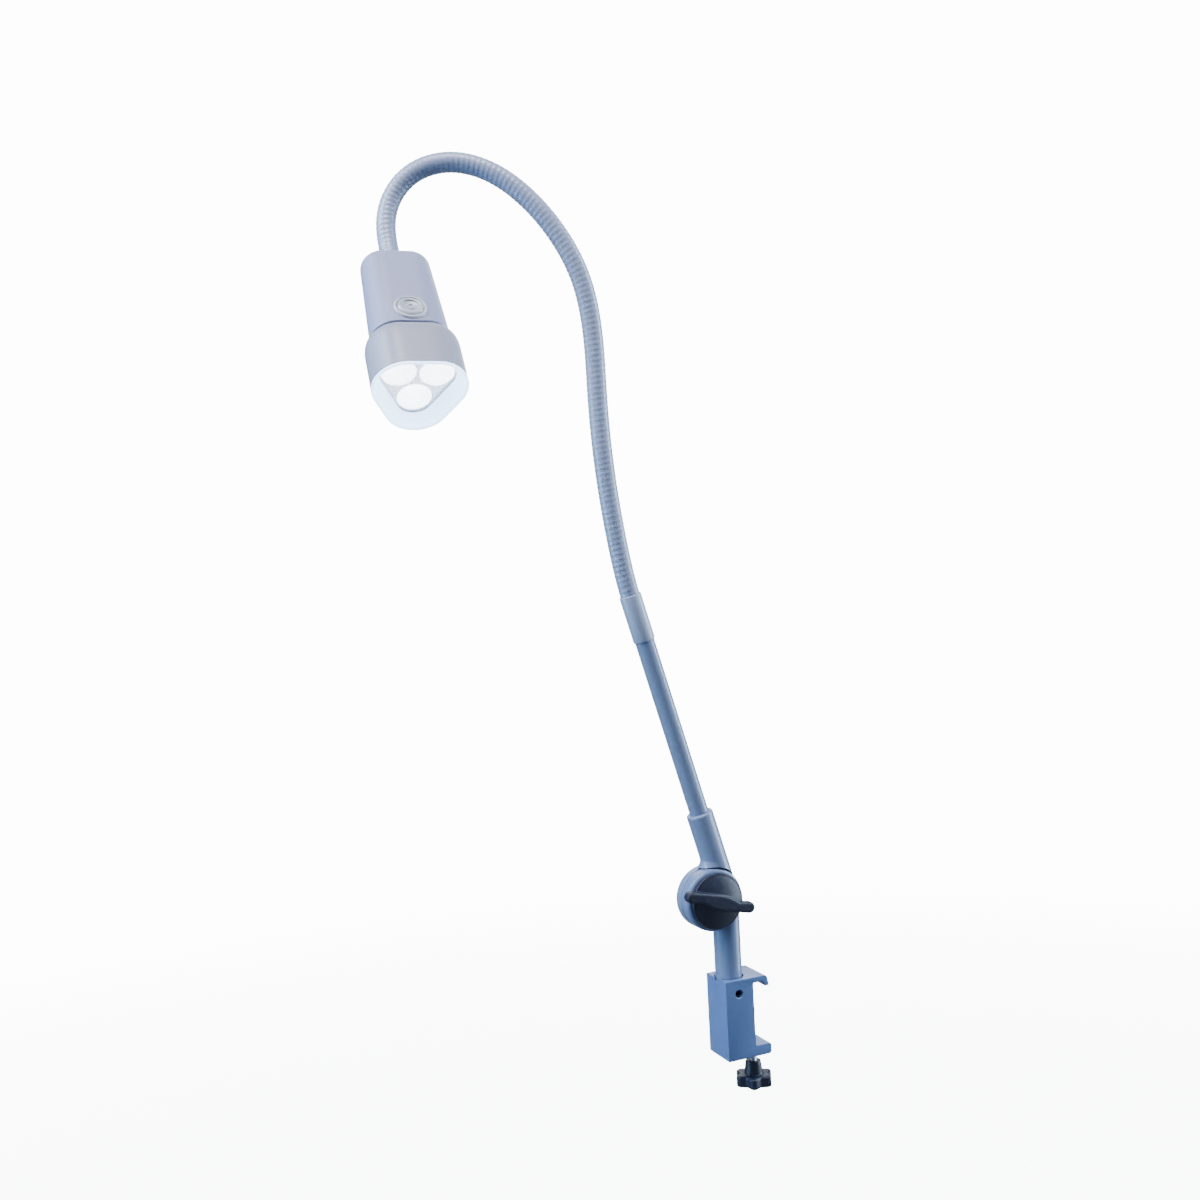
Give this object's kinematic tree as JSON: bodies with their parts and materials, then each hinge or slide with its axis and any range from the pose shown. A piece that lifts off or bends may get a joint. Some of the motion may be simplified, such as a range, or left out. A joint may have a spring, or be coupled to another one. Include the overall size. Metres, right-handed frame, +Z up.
{
  "type": "examination lamp",
  "caption": "Examination lamp: LED head with a push button on a gooseneck and tube, with a tilt joint and a clamp for a medical rail",
  "frame": {"origin": "on the back wall of the clamp's mouth, at mid-width, at the middle of the 25 mm rail that it takes", "axes": "+X out of the mouth towards the rail, +Y along the rail, +Z up along the lamp's height"},
  "size_m": [0.3189, 0.1354, 0.7598],
  "materials": {
    "powder_coat": "satin blue-grey powder coat",
    "neck_sleeve": "ribbed sleeving, soft satin",
    "head_shell": "satin light grey moulding",
    "bezel_plastic": "satin warm grey moulding",
    "button_ring": "satin light grey",
    "button_cap": "soft satin grey",
    "black_plastic": "satin black",
    "steel": "zinc plated",
    "brass": "machined",
    "aluminium": "satin anodised",
    "circuit_board": "solder resist",
    "led_board": "white solder resist",
    "led": "phosphor dome",
    "reflector": "vacuum-metallised",
    "rim": "frosted, slightly translucent",
    "lens": "clear"
  },
  "bodies": {
    "clamp": {"clamp_block": "powder_coat", "post_bush": "brass", "set_screw": "steel", "dc_inlet": "black_plastic"},
    "pad_feed": {"pressure_pad": "black_plastic"},
    "grip": {"clamp_screw": "steel", "star_knob": "black_plastic"},
    "post": {"lower_post": "powder_coat", "retaining_ring": "steel", "friction_disc": "black_plastic"},
    "arm": {"upper_post": "powder_coat", "rigid_tube": "powder_coat", "tube_sleeve": "powder_coat", "pivot_bolt": "steel", "rear_cap": "black_plastic", "neck_section_1": "neck_sleeve"},
    "knob_feed": {"wing_washer": "steel"},
    "wing": {"wing_knob": "black_plastic"},
    "neck_2": {"neck_section_2": "neck_sleeve"},
    "neck_3": {"neck_section_3": "neck_sleeve"},
    "neck_4": {"neck_section_4": "neck_sleeve"},
    "neck_5": {"neck_section_5": "neck_sleeve"},
    "neck_6": {"neck_section_6": "neck_sleeve"},
    "neck_7": {"neck_section_7": "neck_sleeve"},
    "head": {"neck_section_8": "neck_sleeve", "neck_ferrule": "head_shell", "ferrule_nut": "brass", "head_body": "head_shell", "button_ring": "button_ring", "button_switch": "black_plastic", "driver_board": "circuit_board", "heat_sink": "aluminium", "led_board": "led_board", "led_1": "led", "led_2": "led", "led_3": "led", "reflector_1": "reflector", "reflector_2": "reflector", "reflector_3": "reflector", "lens_window": "lens", "dished_rim": "rim", "bezel": "bezel_plastic", "bezel_screw_1": "steel", "bezel_screw_2": "steel", "bezel_screw_3": "steel"},
    "button": {"button_cap": "button_cap"}
  },
  "joints": [
    {"name": "post_swivel", "type": "hinge", "parent": "clamp", "child": "post", "pos_m": [-0.0134, 0, 0.0168], "axis": [0, 0, 1], "range_deg": [-170, 170]},
    {"name": "arm_tilt", "type": "hinge", "parent": "post", "child": "arm", "pos_m": [-0.0279, 0, 0.083], "axis": [0, -1, 0], "range_deg": [-14, 90]},
    {"name": "wing_feed", "type": "slide", "parent": "arm", "child": "knob_feed", "axis": [0, -1, 0], "range_m": [0, 0.00125]},
    {"name": "wing_turn", "type": "hinge", "parent": "knob_feed", "child": "wing", "pos_m": [-0.0279, 0, 0.083], "axis": [0, -1, 0], "range_deg": [0, 360]},
    {"name": "screw_feed", "type": "slide", "parent": "clamp", "child": "pad_feed", "axis": [0, 0, -1], "range_m": [0, 0.015]},
    {"name": "grip_turn", "type": "hinge", "parent": "pad_feed", "child": "grip", "pos_m": [0.0056, 0, -0.072], "axis": [0, 0, -1], "range_deg": [0, 5400]},
    {"name": "neck_bend_1", "type": "hinge", "parent": "arm", "child": "neck_2", "pos_m": [-0.09753, -0.00001, 0.39577], "axis": [-0.3238, -0.945, -0.0462], "range_deg": [-15, 15]},
    {"name": "neck_bend_2", "type": "hinge", "parent": "neck_2", "child": "neck_3", "pos_m": [-0.10389, 0.00004, 0.46003], "axis": [-0.9427, 0.3295, -0.0523], "range_deg": [-12, 12]},
    {"name": "neck_bend_3", "type": "hinge", "parent": "neck_3", "child": "neck_4", "pos_m": [-0.10565, -0.00017, 0.5246], "axis": [-0.3296, -0.944, -0.0117], "range_deg": [-15, 15]},
    {"name": "neck_bend_4", "type": "hinge", "parent": "neck_4", "child": "neck_5", "pos_m": [-0.11565, 0.00261, 0.58806], "axis": [-0.8856, 0.3096, -0.3464], "range_deg": [-12, 12]},
    {"name": "neck_bend_5", "type": "hinge", "parent": "neck_5", "child": "neck_6", "pos_m": [-0.14698, 0.01566, 0.64255], "axis": [-0.3641, -0.9305, 0.0395], "range_deg": [-15, 15]},
    {"name": "neck_bend_6", "type": "hinge", "parent": "neck_6", "child": "neck_7", "pos_m": [-0.19718, 0.03703, 0.67457], "axis": [-0.1157, 0.0405, -0.9925], "range_deg": [-12, 12]},
    {"name": "neck_bend_7", "type": "hinge", "parent": "neck_7", "child": "head", "pos_m": [-0.24751, 0.05304, 0.64606], "axis": [-0.262, -0.9527, 0.1538], "range_deg": [-8, 8]},
    {"name": "button_press", "type": "slide", "parent": "head", "child": "button", "axis": [0.0759, 0.7744, -0.6281], "range_m": [0, 0.001], "stiffness_N_per_m": 800, "springref_m": -0.0008}
  ],
  "couplings": [
    {"joint": "grip_turn", "follows": "screw_feed", "rad_per_m": 6283.2},
    {"joint": "wing_turn", "follows": "wing_feed", "rad_per_m": 5026.5}
  ]
}
